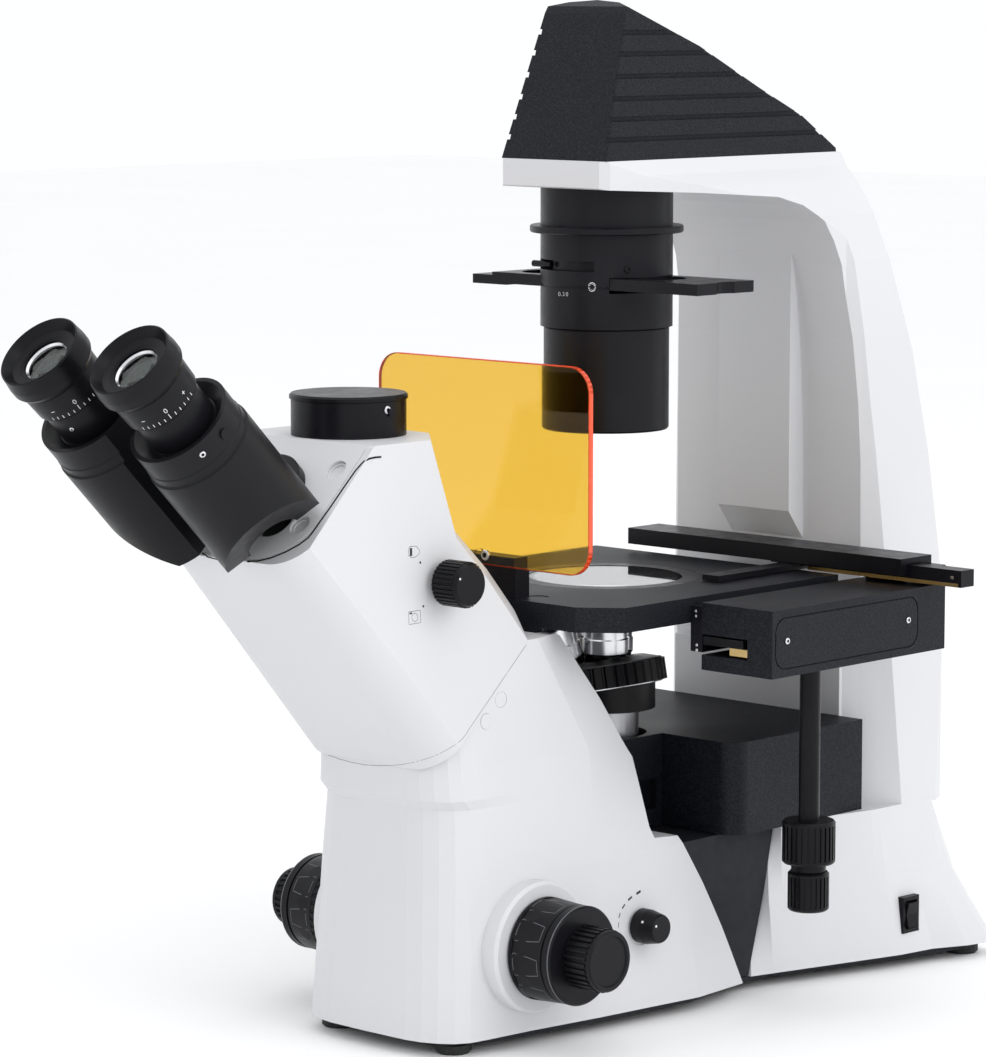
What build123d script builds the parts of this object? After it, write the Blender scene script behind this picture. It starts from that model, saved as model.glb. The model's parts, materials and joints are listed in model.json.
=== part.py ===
from build123d import *
import os
from math import sin, cos, tan, radians, degrees, pi, sqrt, asin

os.makedirs("parts", exist_ok=True)

# ------------------------------------------------------------------ sizes, mm
# Frame: x to the user's right, y from the eyepieces to the column, z up.
# The optical axis of the condenser is x = 0, y = 0; the feet stand on z = 0.
body_bottom = 8.0
stage_z = 224.5          # top of the stage
stage_half = 87.5
stage_front = -98.4
stage_rear = 89.5
stage_thick = 13.0
seam_k = 327.0           # head seam plane: z - y
face_s = 382.0           # head front face, measured along the eyepiece direction
tube_x = 32.0            # half the eye distance at rest
tube_t = -1.5            # height of the eyepiece axes across the 45 degree direction
hinge_t = 25.5           # height of the binocular hinge across the same direction
focus_y = -122.0         # axis of the focus drive
focus_z = 51.6
pinion_r = 6.0           # 37.7 mm of travel per turn
rack_x = -25.0
turret_tilt = 11.0
turret_ring_r = 46.8
objective_r = 21.0
seat_z = 181.0           # shoulder of the objective in use
carriage_x0, carriage_x1 = 96.3, 143.5
carriage_y0, carriage_y1 = -33.0, 110.5
carriage_z0, carriage_z1 = 188.0, 223.0
shaft_x, shaft_y = 133.0, 10.7
x_pinion_x, x_pinion_y = 126.0, 102.9
slot_gap = 0.3

OC = Plane(origin=(0, 0, 0), x_dir=(1, 0, 0), z_dir=(0, -1, 1))   # x, t, s


def upright(x, y):
    """Plane through a vertical axis: profile points are (radius, height)."""
    return Plane(origin=(x, y, 0), x_dir=(1, 0, 0), z_dir=(0, -1, 0))


def along_x(y, z):
    """Plane through an axis along x: profile points are (radius, x)."""
    return Plane(origin=(0, y, z), x_dir=(0, 1, 0), z_dir=(0, 0, -1))


def ocular(x, t):
    """Plane through an eyepiece axis: profile points are (radius, s)."""
    o = OC.from_local_coords(Vector(x, t, 0))
    return Plane(origin=o, x_dir=(1, 0, 0), z_dir=(0, -1, -1))


tilt_s, tilt_c = sin(radians(turret_tilt)), cos(radians(turret_tilt))
apex = Vector(0, 0, 73.0)                                             # where all objective axes meet
turret_plane = Plane(origin=apex, x_dir=(0, -1, 0), z_dir=(-tilt_c, 0, -tilt_s))   # (r, h) about the tilted axis
turret_disc = Plane(origin=apex, x_dir=(0, -1, 0), z_dir=(-tilt_s, 0, tilt_c))     # flat across the tilted axis


def turn(plane, pts, mode=Mode.ADD):
    """Revolves a closed profile of (radius, height) points about the plane's y axis."""
    with BuildSketch(plane) as profile:
        with BuildLine():
            Polyline(*pts, close=True)
        make_face()
    revolve(profile.sketch, axis=Axis(plane.origin, plane.y_dir), mode=mode)


def block(x0, x1, y0, y1, z0, z1, mode=Mode.ADD):
    with Locations(((x0 + x1) / 2, (y0 + y1) / 2, (z0 + z1) / 2)):
        Box(x1 - x0, y1 - y0, z1 - z0, mode=mode)


def rod(x, y, z0, z1, r, mode=Mode.ADD):
    """Cylinder along z."""
    with Locations((x, y, (z0 + z1) / 2)):
        Cylinder(r, z1 - z0, mode=mode)


def bar_x(x0, x1, y, z, r, mode=Mode.ADD):
    """Cylinder along x."""
    with Locations(Location(((x0 + x1) / 2, y, z), (0, 90, 0))):
        Cylinder(r, x1 - x0, mode=mode)


def save(b, name):
    b.part.label = name
    export_step(b.part, "parts/" + name + ".step")


def mirrored(pts, left=0.0):
    """Closed outline from its right half; the left half can be narrower."""
    return pts + [(-(x - left * min(1, x / 40)), y) for x, y in reversed(pts) if x > 1e-6]


def sections(levels, left=0.0):
    """Ruled loft through closed outlines at several heights."""
    faces = []
    for z, pts in levels:
        with BuildSketch(Plane.XY.offset(z)) as level:
            with BuildLine():
                Polyline(*mirrored(pts, left), close=True)
            make_face()
        faces += level.sketch.faces()
    loft(faces, ruled=True)


def prism(plane, pts, depth, both=False, mode=Mode.ADD):
    """Closed polygon on a plane, extruded."""
    with BuildSketch(plane) as outline:
        with BuildLine():
            Polyline(*pts, close=True)
        make_face()
    extrude(outline.sketch, amount=depth, both=both, mode=mode)


def ribbed(plane, n, r_in, r_out, duty, z0, z1, bore=0.0, mode=Mode.ADD):
    """Disc with n flat-topped ribs round it, between two heights of the plane's z."""
    pts = []
    for i in range(n):
        a = 2 * pi * i / n
        p = 2 * pi / n
        for u, r in ((-0.5 * duty, r_out), (0.5 * duty, r_out), (0.5 * duty + 0.12, r_in), (0.88 - 0.5 * duty, r_in)):
            pts.append((r * cos(a + u * p), r * sin(a + u * p)))
    with BuildSketch(plane.offset(z0)) as outline:
        with BuildLine():
            Polyline(*pts, close=True)
        make_face()
        if bore > 0:
            Circle(bore, mode=Mode.SUBTRACT)
    extrude(outline.sketch, amount=z1 - z0, mode=mode)


def u_plate(plane, half, low, high, r, depth, mode=Mode.ADD):
    """Plate with straight sides and rounded lower corners on an (x, t) plane, extruded along s."""
    with BuildSketch(plane) as outline:
        with Locations((0, (low + high) / 2)):
            RectangleRounded(2 * half, high - low, r)
        with Locations((0, (low + 2 * r + high + 60) / 2)):
            Rectangle(2 * half, high + 60 - low - 2 * r)
    extrude(outline.sketch, amount=depth, mode=mode)


# ================================================================ front shell
front_levels = [
    (body_bottom, [(0, -183.3), (28, -182.8), (38, -181), (46, -177.5), (53, -172.2), (57.3, -165), (59, -154), (62, -125), (68.6, -80), (73, -41), (76.7, -10), (70, 60)]),
    (90, [(0, -178.7), (25, -178.2), (35, -176.4), (43, -172.9), (49.6, -167.6), (53.6, -160.5), (55.5, -150), (58, -122), (62, -80), (64.7, -41), (66.5, -14), (66, 60)]),
    (126, [(0, -176.7), (24, -176.2), (33.5, -174.4), (41, -170.9), (47.2, -165.8), (51.3, -158.5), (53.2, -148), (55.5, -121), (57.9, -74), (54.8, -41), (52.9, -22.2), (52.1, 60)]),
    (131, [(0, -180), (26, -179.4), (34.5, -178), (42, -174.8), (48.2, -170), (52, -163.5), (53.9, -152), (55.3, -121.5), (57.2, -74), (53.4, -41), (51, -23.4), (50.2, 60)]),
    (147, [(0, -180), (26, -179.4), (34, -178), (41, -175), (47, -170.5), (50.8, -165), (53, -154), (54, -122), (55.3, -74), (49, -41), (45, -27), (44, 60)]),
    (216, [(0, -180), (26, -179), (34, -177.8), (40, -174.5), (45.5, -170.5), (49.5, -165), (52, -150), (52.8, -135), (53.2, -116), (47, -95), (44, -86), (43, 60)]),
]
front_side = [(-186, body_bottom), (-186, 141), (-118.5, 208.5), (-93, 208.5), (-88, 207), (-57, 170), (-35, 137), (-34, 101), (-32, 95), (-15, 94), (1, 67), (14.5, 41), (30, body_bottom)]
front_cavity = [(-166, 7), (-166, 131), (-120, 187), (-118, 203.5), (-96, 203.5), (-65, 168), (-43, 134), (-42, 97), (-38, 88.5), (-19, 88), (-6.5, 65), (7.5, 38), (22, 7)]
with BuildPart() as front_shell:
    sections(front_levels, left=3.0)
    with BuildSketch(Plane.YZ):
        with BuildLine():
            Polyline(*front_side, close=True)
        make_face()
    extrude(amount=90, both=True, mode=Mode.INTERSECT)
    # hollow, open below and open through the seam to the head
    with BuildSketch(Plane.YZ):
        with BuildLine():
            Polyline(*front_cavity, close=True)
        make_face()
    extrude(amount=38, both=True, mode=Mode.SUBTRACT)
    block(-47, 50, -150, -20, 7, 86, mode=Mode.SUBTRACT)
    # opening in the seam face for the light path
    with BuildSketch(OC.offset(231.3)):
        with Locations((0, 22)):
            RectangleRounded(60, 52, 12)
    extrude(amount=-60, mode=Mode.SUBTRACT)
    # relief for the tilted objective turret in the rear face, through its whole lift
    turn(turret_plane, [(0, 80), (44.0, 80), (44.0, 85.6), (48.8, 85.6), (48.8, 118), (0, 118)], mode=Mode.SUBTRACT)
    block(-36, 36, -36, 10, 84, 140, mode=Mode.SUBTRACT)
    rod(0, 0, 55, 95, 13, mode=Mode.SUBTRACT)
    # seats of the round bosses and the shaft bore
    bar_x(-90, 90, focus_y, focus_z, 6.5, mode=Mode.SUBTRACT)
    bar_x(55.5, 90, focus_y, focus_z, 34.0, mode=Mode.SUBTRACT)
    bar_x(-90, -55.5, focus_y, focus_z, 34.0, mode=Mode.SUBTRACT)
    bar_x(40, 90, -47.5, 51.5, 4.0, mode=Mode.SUBTRACT)
    bar_x(68.3, 90, -47.5, 51.5, 10.4, mode=Mode.SUBTRACT)
    # pockets of the white plugs
    bar_x(50.5, 60, -138.0, 180.1, 4.1, mode=Mode.SUBTRACT)
    bar_x(50.5, 60, -148.6, 170.3, 4.1, mode=Mode.SUBTRACT)
save(front_shell, "front_shell")

# caps over the assembly screws: two on the side wall, four on the prism housing
with BuildPart() as screw_caps:
    for py, pz in ((-138.0, 180.1), (-148.6, 170.3)):
        bar_x(50.5, 53.0, py, pz, 4.0)
    for cx, ct in ((35, 47.7), (-35, 47.7), (35, 12.6), (-35, 12.6)):
        turn(ocular(cx, ct), [(0, 379), (5.6, 379), (5.6, 380.6), (4.2, 380.6), (4.2, 379.8), (0, 379.8)])
save(screw_caps, "screw_caps")

with BuildPart() as focus_bosses:
    for s in (1, -1):
        turn(along_x(focus_y, focus_z), [(5.65, s * 55.5), (34, s * 55.5), (34, s * 65.0), (32.4, s * 66.6), (5.65, s * 66.6)])
save(focus_bosses, "focus_bosses")

# ================================================================= rear shell
col_front = [(23, 430), (80, 426), (98, 421), (112, 412), (119, 401), (124.6, 388), (128, 370), (131, 347), (133.5, 312), (134.7, 280), (135, 237)]
col_rear = [(201, 88), (199, 150), (193, 225), (187, 282), (177.5, 338), (164, 383), (156, 411), (153, 428), (150, 448)]
col_half = [(84, 88), (79, 174), (75, 240), (72, 284), (69.5, 314), (67, 349), (63, 390), (57, 415), (52, 425), (46, 434), (41, 440), (37.5, 448)]
with BuildPart() as column_shell:
    # column and arm: side outline, front outline and the taper of the arm in plan
    with BuildSketch(Plane.YZ):
        with BuildLine():
            Polyline(*(list(reversed(col_front)) + [(-41, 433.2), (-44, 434), (-44, 448)] + list(reversed(col_rear)) + [(126, 88), (126, 173), (135, 176)]), close=True)
        make_face()
    extrude(amount=100, both=True)
    with BuildSketch(Plane.XZ):
        with BuildLine():
            Polyline(*(col_half + [(-x, z) for x, z in reversed(col_half)]), close=True)
        make_face()
    extrude(amount=320, both=True, mode=Mode.INTERSECT)
    with BuildSketch(Plane.XY.offset(80)):
        with BuildLine():
            Polyline(*mirrored([(0, -44), (34, -44), (38, -40), (57, 108), (60, 128), (66.3, 135), (75, 143.7), (84, 152), (84, 182), (78, 194), (64, 202), (0, 202)]), close=True)
        make_face()
    extrude(amount=400, mode=Mode.INTERSECT)
    # central rib down the front of the column
    prism(Plane.YZ, [(122.5, 402), (122.5, 250.5), (134.5, 235), (138, 235), (138, 300), (132, 402)], 25.5, both=True)
    # hollow column and arm
    prism(Plane.YZ, [(142, 240), (142, 180), (131, 176), (131, 80), (196, 80), (194, 150), (187.5, 225), (181.5, 282), (172, 338), (158.5, 383),
                     (150.5, 411), (146, 428), (144, 443), (-38, 443), (-38, 438), (24, 435), (82, 431), (102, 426), (119, 413), (127, 396),
                     (134, 360), (138, 320), (140, 280)], 32, both=True, mode=Mode.SUBTRACT)
    # bore for the condenser below and the lamp above
    rod(0, 0, 425, 452, 35.2, mode=Mode.SUBTRACT)
    # rear base, flaring out to the two stabilising feet
    sections([
        (body_bottom, [(0, 45), (66, 45), (92.4, 141), (96, 166), (105, 186), (109, 202), (102, 213), (70, 216), (0, 216)]),
        (52, [(0, 57.3), (67.5, 57.3), (87, 134), (87, 160), (87.5, 176), (87.5, 190), (78, 204), (60, 206), (0, 206)]),
        (90, [(0, 65.5), (69, 65.5), (83, 126), (84, 150), (84, 166), (84, 178), (66, 198), (50, 201), (0, 201)]),
    ])
    prism(Plane.XY.offset(7), mirrored([(0, 70), (60, 70), (80, 140), (80, 176), (70, 192), (0, 196)]), 77, mode=Mode.SUBTRACT)
    # seats of the power switch and of the power inlet
    block(72, 110, 143.4, 157.4, 19.3, 39.7, mode=Mode.SUBTRACT)
    block(-40, -12, 190, 220, 30, 52, mode=Mode.SUBTRACT)
save(column_shell, "column_shell")

with BuildPart() as base_frame:
    # dark inner frame that shows as a V between the two white shells
    prism(Plane.YZ, [(-11.7, 89.4), (1.6, 67), (15.1, 41), (30.5, 8.6), (44.4, 8.6), (56.6, 52), (64.8, 89.4)], 64.5, both=True)
    prism(Plane.YZ, [(0, 84), (10, 62), (24, 38), (38, 18), (42, 18), (52, 52), (58, 84)], 58, both=True, mode=Mode.SUBTRACT)
    rod(0, 0, 55, 95, 13, mode=Mode.SUBTRACT)
save(base_frame, "base_frame")

with BuildPart() as bottom_plate:
    prism(Plane.XY.offset(4.8), mirrored([(0, -176), (44, -171), (54, -150), (66, -78), (72, -12), (64, 40), (64, 60), (88, 142), (100, 190), (98, 208), (0, 211)]), 3.2)
    for fx, fy in ((41.1, -160.7), (-41.1, -160.7), (89.9, 200), (-89.9, 200)):
        rod(fx, fy, 0, 20, 3.05, mode=Mode.SUBTRACT)
save(bottom_plate, "bottom_plate")

with BuildPart() as feet:
    for fx, fy in ((41.1, -160.7), (-41.1, -160.7), (89.9, 200), (-89.9, 200)):
        turn(upright(fx, fy), [(0, 0), (8.2, 0), (9.3, 1.2), (9.3, 4.8), (3.0, 4.8), (3.0, 7.6), (0, 7.6)])
save(feet, "feet")

# ================================================================= head
head_levels = [
    (140, [(0, -300), (52, -300), (53.0, -162), (53.2, -160), (40, -140), (0, -138)]),
    (208.5, [(0, -300), (52, -300), (53.2, -150), (53.2, -118.5), (34, -97), (0, -95)]),
    (243, [(0, -300), (51.5, -300), (52.4, -150), (52.4, -147.6), (30, -124), (0, -122)]),
    (265, [(0, -300), (51, -300), (51.5, -171), (51.5, -168.6), (28, -146), (0, -144)]),
    (315.6, [(0, -300), (49.5, -300), (50.0, -187), (50.0, -185.6), (26, -162), (0, -160)]),
]
with BuildPart() as head_shell:
    sections(head_levels)
    with BuildSketch(Plane.YZ):
        with BuildLine():
            Polyline((-95, 232), (-118.5, 208.5), (-180, 147.0), (-181.5, 149), (-279, 261), (-228.6, 311.4), (-226.0, 314.6), (-223.5, 315.6), (-100, 315.6), (-90, 250), close=True)
        make_face()
    extrude(amount=90, both=True, mode=Mode.INTERSECT)
    # round the two long front edges of the leaning body
    lean = Plane(origin=(0, -181.5, 149), x_dir=(1, 0, 0), z_dir=(0, -0.6566, 0.7542))
    with BuildSketch(lean.offset(-30)):
        with Locations((0, 100)):
            RectangleRounded(108, 200, 24)
    extrude(amount=280, mode=Mode.INTERSECT)
    # seat of the prism housing and the light path behind it
    u_plate(OC.offset(331), 45.6, -10.8, 70, 28, 80, mode=Mode.SUBTRACT)
    with BuildSketch(OC.offset(236)):
        with Locations((0, 23.5)):
            RectangleRounded(88, 69, 16)
    extrude(amount=91, mode=Mode.SUBTRACT)
    with BuildSketch(OC.offset(230)):
        with Locations((0, 22)):
            RectangleRounded(60, 52, 12)
    extrude(amount=8, mode=Mode.SUBTRACT)
    with BuildSketch(OC.offset(325)):
        with Locations((0, 22)):
            RectangleRounded(60, 52, 12)
    extrude(amount=8, mode=Mode.SUBTRACT)
    bar_x(30, 60, -180.3, 244.6, 3.55, mode=Mode.SUBTRACT)
save(head_shell, "head_shell")

with BuildPart() as prism_housing:
    sections(head_levels)
    u_plate(OC.offset(331), 45.3, -10.5, 70, 27.7, 51, mode=Mode.INTERSECT)
    block(-60, 60, -330, -100, 315.6, 420, mode=Mode.SUBTRACT)
    # light openings to the two eyepieces and up to the photo port
    with BuildSketch(OC.offset(330)):
        with Locations((0, 16)):
            RectangleRounded(70, 44, 12)
    extrude(amount=46, mode=Mode.SUBTRACT)
    for sx in (1, -1):
        turn(ocular(sx * 17, 14), [(0, 370), (11, 370), (11, 390), (0, 390)], mode=Mode.SUBTRACT)
    rod(0, -193, 285, 330, 23, mode=Mode.SUBTRACT)
    for cx, ct in ((35, 47.7), (-35, 47.7), (35, 12.6), (-35, 12.6)):
        turn(ocular(cx, ct), [(0, 379), (5.7, 379), (5.7, 390), (0, 390)], mode=Mode.SUBTRACT)
save(prism_housing, "prism_housing")

with BuildPart() as photo_port:
    turn(upright(0, -193), [(24, 315.6), (29, 315.6), (29, 333.6), (24, 333.6)])
    bar_x(23.0, 29.5, -193, 328.5, 2.0, mode=Mode.SUBTRACT)
    bar_x(24.6, 30.6, -193, 328.5, 2.0)
save(photo_port, "photo_port")

with BuildPart() as port_cap:
    turn(upright(0, -193), [(0, 334.0), (21.5, 334.0), (21.5, 324), (23.95, 324), (23.95, 333.9), (29.8, 333.9), (29.8, 335.6), (28.8, 336.6), (0, 336.6)])
save(port_cap, "port_cap")

# ------------------------------------------------------------ binocular tube
with BuildPart() as binocular_hub:
    turn(ocular(0, hinge_t), [(0, 382), (24, 382), (24, 387.6), (23.4, 388.2), (6.0, 388.2), (6.0, 399.1), (9.0, 399.1), (9.0, 401.0), (8.2, 401.6), (0, 401.6)])
save(binocular_hub, "binocular_hub")

for side, sx, arm0, arm1 in (("right", 1, 388.9, 393.7), ("left", -1, 394.0, 398.8)):
    with BuildPart() as housing:
        turn(ocular(sx * tube_x, tube_t), [(0, 388.5), (27.8, 388.5), (27.8, 457.6), (26.9, 458.2), (26.9, 462.6), (26.5, 463.2), (26.5, 476), (0, 476)])
        # flat on the inner side
        with BuildSketch(OC.offset(380)) as cut:
            with Locations((sx * (9 - 30), tube_t)):
                Rectangle(60, 80)
        extrude(cut.sketch, amount=110, mode=Mode.SUBTRACT)
        # slanting facet across the upper outer edge
        facet = Plane(origin=(sx * 32, -275.8, 273.6), z_dir=(sx * 0.986, 0.277, -1.137))
        with BuildSketch(facet) as slant:
            Rectangle(200, 200)
        extrude(slant.sketch, amount=100, mode=Mode.SUBTRACT)
        # hinge arm
        with BuildSketch(OC.offset(arm0)) as arm:
            with Locations((0, hinge_t)):
                Circle(13.4)
            with BuildLine():
                Polyline((sx * 2, hinge_t + 9), (sx * 24, 12), (sx * 18, -6), (sx * 9.2, -2), (sx * 6, 10), (sx * -4, hinge_t - 10), close=True)
            make_face()
            with Locations((0, hinge_t)):
                Circle(6.05, mode=Mode.SUBTRACT)
        extrude(arm.sketch, amount=arm1 - arm0)
        # light bore, eyepiece bore and the cone at its mouth
        turn(ocular(sx * tube_x, tube_t), [(0, 380), (14, 380), (14, 452), (15.2, 452), (15.2, 472), (18.4, 472), (24.6, 476.2), (0, 476.2)], mode=Mode.SUBTRACT)
        # clamp screw
        with Locations(Location(OC.from_local_coords(Vector(sx * (tube_x + 23), tube_t, 469)), (0, 90, 0))):
            Cylinder(2.6, 9)
    save(housing, side + "_housing")
    with BuildPart() as eyepiece:
        turn(ocular(sx * tube_x, tube_t), [(11.5, 452.2), (15.2, 452.2), (15.2, 472.2), (17.7, 472.2), (17.7, 490), (14.5, 490), (14.5, 500), (11.5, 500)])
    save(eyepiece, side + "_eyepiece")
    with BuildPart() as diopter:
        turn(ocular(sx * tube_x, tube_t), [(14.56, 490.3), (19.0, 490.3), (19.4, 491), (20.0, 504.5), (19.6, 505), (21.3, 506), (22.3, 508), (22.3, 512), (21.8, 516),
                                           (21.5, 519), (20.8, 519.5), (17.5, 514.5), (14.0, 513.4), (12.0, 513.4), (12.0, 503), (14.56, 501)])
    save(diopter, side + "_diopter_ring")
    with BuildPart() as eye_lens:
        turn(ocular(sx * tube_x, tube_t), [(0, 506), (12.0, 506), (12.0, 511.0), (8, 511.9), (0, 512.4)])
    save(eye_lens, side + "_eye_lens")

# ------------------------------------------------- light-path selector in the head
with BuildPart() as light_path_knob:
    ribbed(Plane(origin=(0, -180.3, 244.6), x_dir=(0, 1, 0), z_dir=(1, 0, 0)), 30, 11.0, 11.6, 0.5, 56.5, 70.5)
    turn(along_x(-180.3, 244.6), [(0, 55.6), (10.4, 55.6), (11.2, 56.5), (0, 56.5)])
    turn(along_x(-180.3, 244.6), [(0, 70.5), (11.2, 70.5), (10.0, 72.6), (0, 72.6)])
    bar_x(-4, 55.7, -180.3, 244.6, 3.5)
    ribbed(Plane(origin=(0, -180.3, 244.6), x_dir=(0, 1, 0), z_dir=(1, 0, 0)), 24, 10.4, 11.5, 0.35, -8, -2)
save(light_path_knob, "light_path_knob")

with BuildPart() as path_prism:
    # prism carrier with its tooth row, resting on the floor of the light path
    with BuildSketch(OC.offset(240)) as carrier:
        with Locations((0, 11.5)):
            Rectangle(28, 43.8)
    extrude(carrier.sketch, amount=32)
    with BuildSketch(OC.offset(246)) as window:
        with Locations((0, 5)):
            Rectangle(30, 20)
    extrude(window.sketch, amount=20, mode=Mode.SUBTRACT)
    with BuildSketch(OC.offset(246)) as glass:
        with Locations((0, 5)):
            Rectangle(24, 20)
    extrude(glass.sketch, amount=20)
save(path_prism, "path_prism")

# ================================================================= focus drive
focus_disc = Plane(origin=(0, focus_y, focus_z), x_dir=(0, 1, 0), z_dir=(1, 0, 0))
with BuildPart() as coarse_knobs:
    turn(along_x(focus_y, focus_z), [(3.0, -98), (5.6, -98), (5.6, 93), (3.0, 93)])
    # tooth grooves of the pinion
    for i in range(12):
        a = 2 * pi * i / 12
        with Locations(Location((rack_x, focus_y + 5.5 * cos(a), focus_z + 5.5 * sin(a)), (0, 0, 0))):
            Box(15, 1.1, 1.1, rotation=(degrees(a), 0, 0), mode=Mode.SUBTRACT)
    for s in (1, -1):
        x0, x1 = (67.2, 95.0) if s > 0 else (75.6, 100.0)
        turn(along_x(focus_y, focus_z), [(5.5, s * x0), (26.0, s * x0), (26.6, s * (x0 + 0.8)), (25.4, s * (x1 - 6.4)), (24.6, s * (x1 - 6.0)), (24.6, s * (x1 - 5.2)),
                                         (25.5, s * (x1 - 5.2)), (25.5, s * (x1 - 0.8)), (24.7, s * x1), (5.5, s * x1)])
        # nine recesses round the grip
        for i in range(9):
            a = 40 * i + 8
            with Locations(Location((s * (x0 + x1 - 4) / 2, focus_y + 27.6 * cos(radians(a)), focus_z + 27.6 * sin(radians(a))), (a, 0, 0))):
                Box(x1 - x0 - 9, 3.4, 8.0, mode=Mode.SUBTRACT)
        # room for the hub of the fine knob
        turn(along_x(focus_y, focus_z), [(3.0, s * (x1 - 5)), (13.2, s * (x1 - 5)), (13.2, s * (x1 + 1)), (3.0, s * (x1 + 1))], mode=Mode.SUBTRACT)
save(coarse_knobs, "coarse_knobs")

with BuildPart() as tension_ring:
    ribbed(focus_disc, 40, 26.2, 27.2, 0.5, -75.2, -67.2, bore=5.65)
save(tension_ring, "tension_ring")

with BuildPart() as fine_knobs:
    turn(along_x(focus_y, focus_z), [(0, -104), (2.95, -104), (2.95, 99), (0, 99)])
    for s in (1, -1):
        x0, x1 = (95.4, 113.5) if s > 0 else (100.4, 116.5)
        turn(along_x(focus_y, focus_z), [(2.9, s * (x0 - 4.6)), (12.9, s * (x0 - 4.6)), (12.9, s * x0), (16.0, s * x0), (16.0, s * (x0 + 1)), (2.9, s * (x0 + 1))])
        ribbed(focus_disc, 30, 15.2, 16.3, 0.45, s * (x0 + 1) if s > 0 else -(x1 - 3), s * (x1 - 3) if s > 0 else -(x0 + 1), bore=2.9)
        turn(along_x(focus_y, focus_z), [(0, s * (x1 - 3)), (15.7, s * (x1 - 3)), (15.7, s * (x1 - 0.8)), (14.9, s * x1), (13.0, s * x1), (12.5, s * (x1 - 0.8)), (0, s * (x1 - 0.8))])
save(fine_knobs, "fine_knobs")

with BuildPart() as focus_lift:
    # rack, arm, strut, flange and the stem that carries the nosepiece
    block(-33, -17, -115.9, -109, 32, 75)
    for i in range(13):
        block(-34, -16, -117, -114.9, 34 + i * 3.1, 35.4 + i * 3.1, mode=Mode.SUBTRACT)
    block(-33, -17, -109, -19.5, 60, 70)
    block(-18, 8, -24, -19.5, 60, 70)
    block(-8, 8, -24, -19.5, 60, 124)
    rod(0, 0, 122, 127, 22)
    block(-8, 8, -24, -19.5, 122, 127)
    rod(0, 0, 127, 154, 18)
    rod(0, 0, 120, 156, 10, mode=Mode.SUBTRACT)
save(focus_lift, "focus_lift")

with BuildPart() as nosepiece_mount:
    rod(0, 0, 154, 180, 27)
    turn(turret_plane, [(0, 84.9), (38.5, 84.9), (38.5, 88.4), (0, 88.4)])
    turn(turret_plane, [(0, 88.4), (90, 88.4), (90, 130), (0, 130)], mode=Mode.SUBTRACT)
    turn(turret_plane, [(0, 88), (5.0, 88), (5.0, 100), (0, 100)])
    rod(0, 0, 150, 170, 10, mode=Mode.SUBTRACT)
save(nosepiece_mount, "nosepiece_mount")

objective_reach = [135.0, 133.5, 127.0, 131.0, 134.0]
axes5 = []
for i in range(5):
    w = radians(72 * i)
    vy0, vz0 = tilt_s * tilt_c, tilt_s * tilt_s       # part of the upright axis square to the turret axis
    c, s = cos(w), sin(w)
    axes5.append(Vector(-tilt_s * tilt_c + c * vy0, s * tilt_s, tilt_c * tilt_c + c * vz0))
with BuildPart() as turret:
    turn(turret_plane, [(5.05, 88.7), (44, 88.7), (44, 89.4), (45.6, 89.4), (45.6, 101.0), (44.4, 101.8), (36, 104.2), (5.05, 104.2)])
    ribbed(turret_disc, 46, 45.6, 46.8, 0.62, 89.5, 101.0, bore=40)
    for v in axes5:
        xd = v.cross(Vector(0, 1, 0)).normalized()
        turn(Plane(origin=apex, x_dir=xd, z_dir=xd.cross(v)), [(0, 96), (11.4, 96), (11.4, 108), (0, 108)])
    for v in axes5:
        xd = v.cross(Vector(0, 1, 0)).normalized()
        turn(Plane(origin=apex, x_dir=xd, z_dir=xd.cross(v)), [(0, 70), (10, 70), (10, 120), (0, 120)], mode=Mode.SUBTRACT)
save(turret, "turret")

with BuildPart() as objectives:
    for i, v in enumerate(axes5):
        xd = v.cross(Vector(0, 1, 0)).normalized()
        e = objective_reach[i]
        turn(Plane(origin=apex, x_dir=xd, z_dir=xd.cross(v)),
             [(6, 100), (9.9, 100), (9.9, 108), (11.2, 108), (11.6, 109.6), (12.2, 110.2), (12.2, 117.6), (11.6, 118.2), (11.6, e - 7), (8.2, e - 2.4), (7.4, e), (3.4, e), (3.4, e - 4), (6, e - 8)])
save(objectives, "objectives")

# ============================================================ lamp and condenser
with BuildPart() as lamp_cover:
    lids = []
    for y, z0, sh in [(-52, 448, 541.3), (-12, 448, 526), (39, 448, 506.5), (86, 448, 483.5), (119, 448, 468.5), (146.5, 448, 450.0)]:
        ws = 37.2 - 0.1118 * (sh - 448)
        rise = 6.3 if sh > 455 else 2.0
        with BuildSketch(Plane.XZ.offset(-y)) as lid:
            with BuildLine():
                Polyline((-37.2, 448), (-ws, sh), (-0.62 * ws, sh + 0.66 * rise), (0, sh + rise), (0.62 * ws, sh + 0.66 * rise), (ws, sh), (37.2, 448), close=True)
            make_face()
        lids += lid.sketch.faces()
    loft(lids, ruled=True)
    prism(Plane.YZ, [(-41.8, 448), (-17.5, 524), (-15.5, 527.5), (-9, 530.3), (40, 560), (150, 560), (150, 448)], 60, both=True, mode=Mode.INTERSECT)
    # louver grooves down both sides
    for gz in (514, 503, 491.5, 480, 469.5, 459):
        wg = 37.2 - 0.1118 * (gz - 448)
        for s in (1, -1):
            block(min(s * (wg - 1.8), s * 60), max(s * (wg - 1.8), s * 60), -60, 160, gz - 1.35, gz + 1.35, mode=Mode.SUBTRACT)
    # hollow
    prism(Plane.YZ, [(-36, 440), (-36, 452), (-14, 521), (38, 500.5), (84, 477.5), (112, 463), (118, 452), (118, 440)], 24.5, both=True, mode=Mode.SUBTRACT)
save(lamp_cover, "lamp_cover")

with BuildPart() as lamp_module:
    block(-23, 23, -30, 40, 448, 452)
    for i in range(7):
        block(-21, 21, -20 + i * 8, -17 + i * 8, 452, 492)
    block(-12, 12, -14, 14, 452, 460)
    rod(0, 0, 440, 452.2, 9, mode=Mode.SUBTRACT)
save(lamp_module, "lamp_module")

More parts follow.
